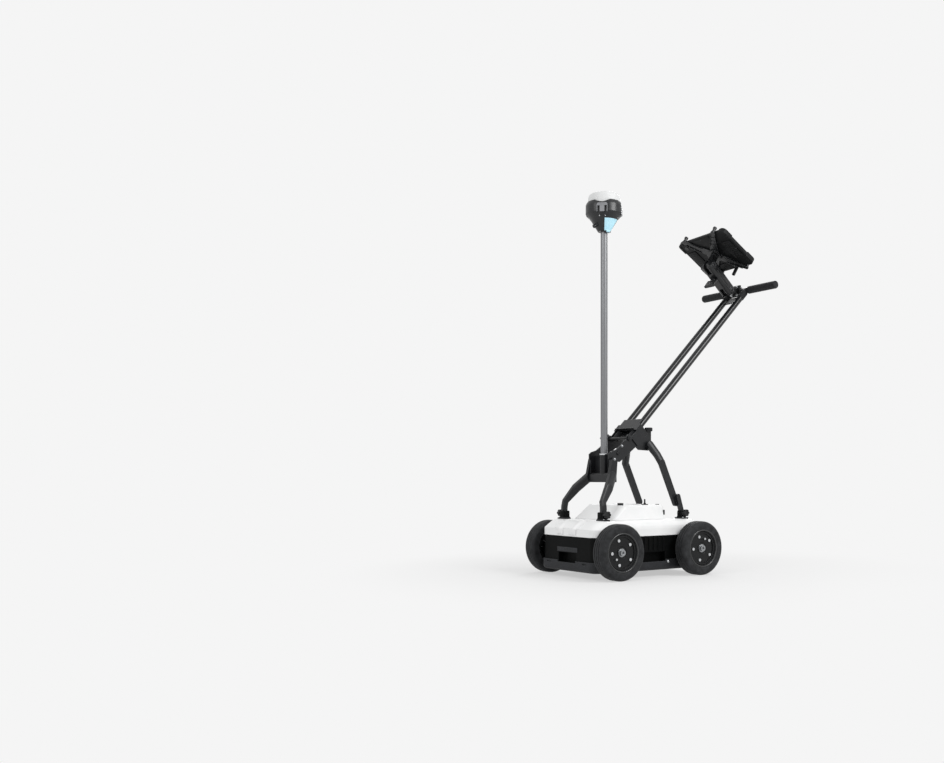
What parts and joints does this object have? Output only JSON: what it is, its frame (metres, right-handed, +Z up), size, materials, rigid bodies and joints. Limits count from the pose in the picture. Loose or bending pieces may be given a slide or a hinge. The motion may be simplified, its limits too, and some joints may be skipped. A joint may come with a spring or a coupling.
{
  "type": "ground penetrating radar cart",
  "caption": "Push cart that rolls a boxed ground radar on pneumatic wheels, with a leg frame, tilting handle, tablet on an arm and a satellite receiver on a pole.",
  "frame": {"origin": "on the ground, below the middle of the cart's outline", "axes": "+Z up, front of the cart towards -Y, left side towards +X"},
  "size_m": [0.472, 0.9318, 1.418],
  "materials": {
    "tyre_rubber": "matt black rubber",
    "rim_black": "satin black",
    "bright_steel": "bright zinc",
    "black_plastic": "fine grain",
    "tub_black": "fine grain",
    "tray_grey": "scuffed satin",
    "white_shell": "satin white",
    "grey_plastic": "fine grain",
    "aluminium_sheet": "bare sheet",
    "board_green": "solder mask",
    "dark_coat": "satin powder coat",
    "grip_rubber": "ribbed foam rubber",
    "dark_glass": "dark glossy",
    "pole_alloy": "grey anodised",
    "pale_blue": "satin"
  },
  "bodies": {
    "chassis": {"axle_bolts": "bright_steel", "tub": "tub_black", "wear_tray": "tray_grey", "top_cover": "white_shell", "electronics_housing": "white_shell", "stub_antenna": "black_plastic", "shield_box": "aluminium_sheet", "antenna_boards": "board_green", "main_board": "board_green", "battery_pack": "grey_plastic", "wheel_sensor": "bright_steel", "foot_brackets": "dark_coat", "front_leg_l": "dark_coat", "front_leg_r": "dark_coat", "rear_leg_l": "dark_coat", "rear_leg_r": "dark_coat", "front_block": "dark_coat", "yoke_plate_l": "dark_coat", "yoke_plate_r": "dark_coat"},
    "wheel_fl": {"tyre_fl": "tyre_rubber", "rim_fl": "rim_black", "rim_bolts_fl": "bright_steel"},
    "wheel_fr": {"tyre_fr": "tyre_rubber", "rim_fr": "rim_black", "rim_bolts_fr": "bright_steel"},
    "wheel_rl": {"tyre_rl": "tyre_rubber", "rim_rl": "rim_black", "rim_bolts_rl": "bright_steel"},
    "wheel_rr": {"tyre_rr": "tyre_rubber", "rim_rr": "rim_black", "rim_bolts_rr": "bright_steel"},
    "foot_knob_fl": {"foot_knob_fl": "black_plastic"},
    "foot_knob_fr": {"foot_knob_fr": "black_plastic"},
    "foot_knob_rl": {"foot_knob_rl": "black_plastic"},
    "foot_knob_rr": {"foot_knob_rr": "black_plastic"},
    "handle": {"handle_rails": "dark_coat", "hinge_bracket": "dark_coat", "handle_bar": "dark_coat", "grips": "grip_rubber", "u_bolts": "bright_steel", "arm_base": "black_plastic"},
    "hinge_knob": {"hinge_knob": "black_plastic"},
    "arm": {"tablet_arm": "black_plastic"},
    "arm_knob": {"arm_knob": "black_plastic"},
    "cradle": {"cradle_plate": "black_plastic", "tablet_case": "black_plastic", "tablet_glass": "dark_glass"},
    "cradle_jaw": {"cradle_jaw": "black_plastic"},
    "tablet_key_l": {"tablet_key_l": "grey_plastic"},
    "tablet_key_home": {"tablet_key_home": "grey_plastic"},
    "tablet_key_r": {"tablet_key_r": "grey_plastic"},
    "pole": {"receiver_pole": "pole_alloy"},
    "pole_collar": {"pole_collar": "bright_steel"},
    "receiver": {"receiver_body": "grey_plastic", "receiver_dome": "white_shell"},
    "receiver_door": {"receiver_door": "pale_blue"},
    "battery_door": {"battery_door": "white_shell"},
    "door_latch": {"door_latch": "black_plastic"},
    "power_button": {"power_button": "grey_plastic"},
    "connector_cap": {"connector_cap": "black_plastic"}
  },
  "joints": [
    {"name": "wheel_fl_spin", "type": "hinge", "parent": "chassis", "child": "wheel_fl", "pos_m": [0.209, -0.36432, 0.1], "axis": [1, 0, 0], "continuous": true},
    {"name": "wheel_fr_spin", "type": "hinge", "parent": "chassis", "child": "wheel_fr", "pos_m": [-0.209, -0.36432, 0.1], "axis": [1, 0, 0], "continuous": true},
    {"name": "wheel_rl_spin", "type": "hinge", "parent": "chassis", "child": "wheel_rl", "pos_m": [0.209, 0.01968, 0.1], "axis": [1, 0, 0], "continuous": true},
    {"name": "wheel_rr_spin", "type": "hinge", "parent": "chassis", "child": "wheel_rr", "pos_m": [-0.209, 0.01968, 0.1], "axis": [1, 0, 0], "continuous": true},
    {"name": "foot_knob_fl_turn", "type": "hinge", "parent": "chassis", "child": "foot_knob_fl", "pos_m": [0.118, -0.36232, 0.229], "axis": [1, 0, 0], "continuous": true},
    {"name": "foot_knob_fr_turn", "type": "hinge", "parent": "chassis", "child": "foot_knob_fr", "pos_m": [-0.118, -0.36232, 0.229], "axis": [1, 0, 0], "continuous": true},
    {"name": "foot_knob_rl_turn", "type": "hinge", "parent": "chassis", "child": "foot_knob_rl", "pos_m": [0.118, 0.01768, 0.229], "axis": [1, 0, 0], "continuous": true},
    {"name": "foot_knob_rr_turn", "type": "hinge", "parent": "chassis", "child": "foot_knob_rr", "pos_m": [-0.118, 0.01768, 0.229], "axis": [1, 0, 0], "continuous": true},
    {"name": "handle_tilt", "type": "hinge", "parent": "chassis", "child": "handle", "pos_m": [0, -0.19232, 0.509], "axis": [1, 0, 0], "range_deg": [0, 20]},
    {"name": "hinge_knob_turn", "type": "hinge", "parent": "chassis", "child": "hinge_knob", "pos_m": [0, -0.19232, 0.509], "axis": [1, 0, 0], "continuous": true},
    {"name": "arm_tilt", "type": "hinge", "parent": "handle", "child": "arm", "pos_m": [0, 0.38182, 1.13217], "axis": [1, 0, 0], "range_deg": [-20, 20]},
    {"name": "arm_knob_turn", "type": "hinge", "parent": "arm", "child": "arm_knob", "pos_m": [0, 0.32114, 1.18492], "axis": [0, 0.6561, 0.7547], "continuous": true},
    {"name": "cradle_tilt", "type": "hinge", "parent": "arm", "child": "cradle", "pos_m": [0, 0.28069, 1.22009], "axis": [1, 0, 0], "range_deg": [-20, 25]},
    {"name": "cradle_jaw_pull", "type": "slide", "parent": "cradle", "child": "cradle_jaw", "axis": [0.0523, 0.8375, -0.5439], "range_m": [0, 0.025], "stiffness_N_per_m": 220, "springref_m": -0.012},
    {"name": "tablet_key_l_press", "type": "slide", "parent": "cradle", "child": "tablet_key_l", "axis": [0, -0.5446, -0.8387], "range_m": [0, 0.0006], "stiffness_N_per_m": 300, "springref_m": -0.001},
    {"name": "tablet_key_home_press", "type": "slide", "parent": "cradle", "child": "tablet_key_home", "axis": [0, -0.5446, -0.8387], "range_m": [0, 0.0006], "stiffness_N_per_m": 300, "springref_m": -0.001},
    {"name": "tablet_key_r_press", "type": "slide", "parent": "cradle", "child": "tablet_key_r", "axis": [0, -0.5446, -0.8387], "range_m": [0, 0.0006], "stiffness_N_per_m": 300, "springref_m": -0.001},
    {"name": "pole_lift", "type": "slide", "parent": "chassis", "child": "pole", "axis": [0, 0, 1], "range_m": [0, 0.06]},
    {"name": "pole_collar_turn", "type": "hinge", "parent": "chassis", "child": "pole_collar", "pos_m": [0, -0.26432, 0.4487], "axis": [0, 0, 1], "range_deg": [0, 90]},
    {"name": "receiver_turn", "type": "hinge", "parent": "pole", "child": "receiver", "pos_m": [0, -0.26432, 1.278], "axis": [0, 0, 1], "continuous": true},
    {"name": "receiver_door_open", "type": "hinge", "parent": "receiver", "child": "receiver_door", "pos_m": [0.022, -0.26432, 1.2755], "axis": [0, 1, 0], "range_deg": [0, 60]},
    {"name": "battery_door_open", "type": "hinge", "parent": "chassis", "child": "battery_door", "pos_m": [-0.098, -0.05412, 0.2315], "axis": [0, 0, 1], "range_deg": [0, 95]},
    {"name": "door_latch_turn", "type": "hinge", "parent": "battery_door", "child": "door_latch", "pos_m": [0.085, -0.05732, 0.2315], "axis": [0, 1, 0], "range_deg": [0, 90]},
    {"name": "power_button_press", "type": "slide", "parent": "chassis", "child": "power_button", "axis": [0, 0, -1], "range_m": [0, 0.002], "stiffness_N_per_m": 400, "springref_m": -0.001},
    {"name": "connector_cap_turn", "type": "hinge", "parent": "chassis", "child": "connector_cap", "pos_m": [0.07, -0.24332, 0.26], "axis": [0, 0, 1], "continuous": true}
  ]
}
